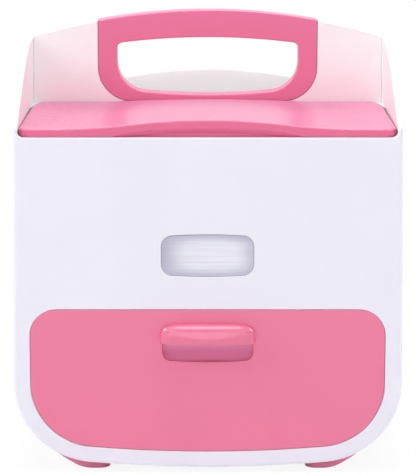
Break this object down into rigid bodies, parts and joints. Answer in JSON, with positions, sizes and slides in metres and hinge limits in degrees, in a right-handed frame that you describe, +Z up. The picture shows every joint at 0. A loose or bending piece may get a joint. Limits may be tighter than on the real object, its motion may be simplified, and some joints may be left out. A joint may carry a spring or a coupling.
{
  "type": "diaper caddy",
  "caption": "Free-standing box for baby changing supplies: hinged lid over an upper tub, drawer below, mat pocket behind an arched panel, carrying handle.",
  "frame": {"origin": "under the middle of the whole part, on the plane that the feet stand on", "axes": "+X to the right seen from the front, the front faces -Y, +Z up"},
  "size_m": [0.3, 0.2094, 0.3436],
  "materials": {
    "shell_white": "satin gloss, fine moulded texture",
    "tub_white": "soft satin, slightly translucent",
    "handle_pink": "satin",
    "lid_pink": "satin gloss",
    "liner_pink": "satin",
    "seal_clear": "soft, dull",
    "drawer_pink": "satin gloss",
    "tray_pink": "satin",
    "window_clear": "clear, polished",
    "foot_rubber": "soft, matte",
    "pin_steel": "ground",
    "screw_steel": "zinc plated"
  },
  "bodies": {
    "housing": {"outer_shell": "shell_white", "rear_cover": "shell_white", "cover_screws": "screw_steel", "handle_panel": "shell_white", "panel_screws": "screw_steel", "handle_grip_front": "handle_pink", "handle_grip_rear": "handle_pink", "handle_screws": "screw_steel", "window_pane": "window_clear", "storage_tub": "tub_white", "foot_front_left": "foot_rubber", "foot_front_right": "foot_rubber", "foot_rear_left": "foot_rubber", "foot_rear_right": "foot_rubber", "hinge_pin_left": "pin_steel", "hinge_pin_right": "pin_steel"},
    "lid": {"lid_panel": "lid_pink", "lid_liner": "liner_pink", "lid_seal": "seal_clear"},
    "drawer": {"drawer_front": "drawer_pink", "drawer_tray": "tray_pink", "tray_screws": "screw_steel", "drawer_pull": "drawer_pink", "pull_screws": "screw_steel"}
  },
  "joints": [
    {"name": "lid_hinge", "type": "hinge", "parent": "housing", "child": "lid", "pos_m": [0, 0.05075, 0.2648], "axis": [-1, 0, 0], "range_deg": [0, 92]},
    {"name": "drawer_slide", "type": "slide", "parent": "housing", "child": "drawer", "axis": [0, -1, 0], "range_m": [0, 0.122]}
  ]
}
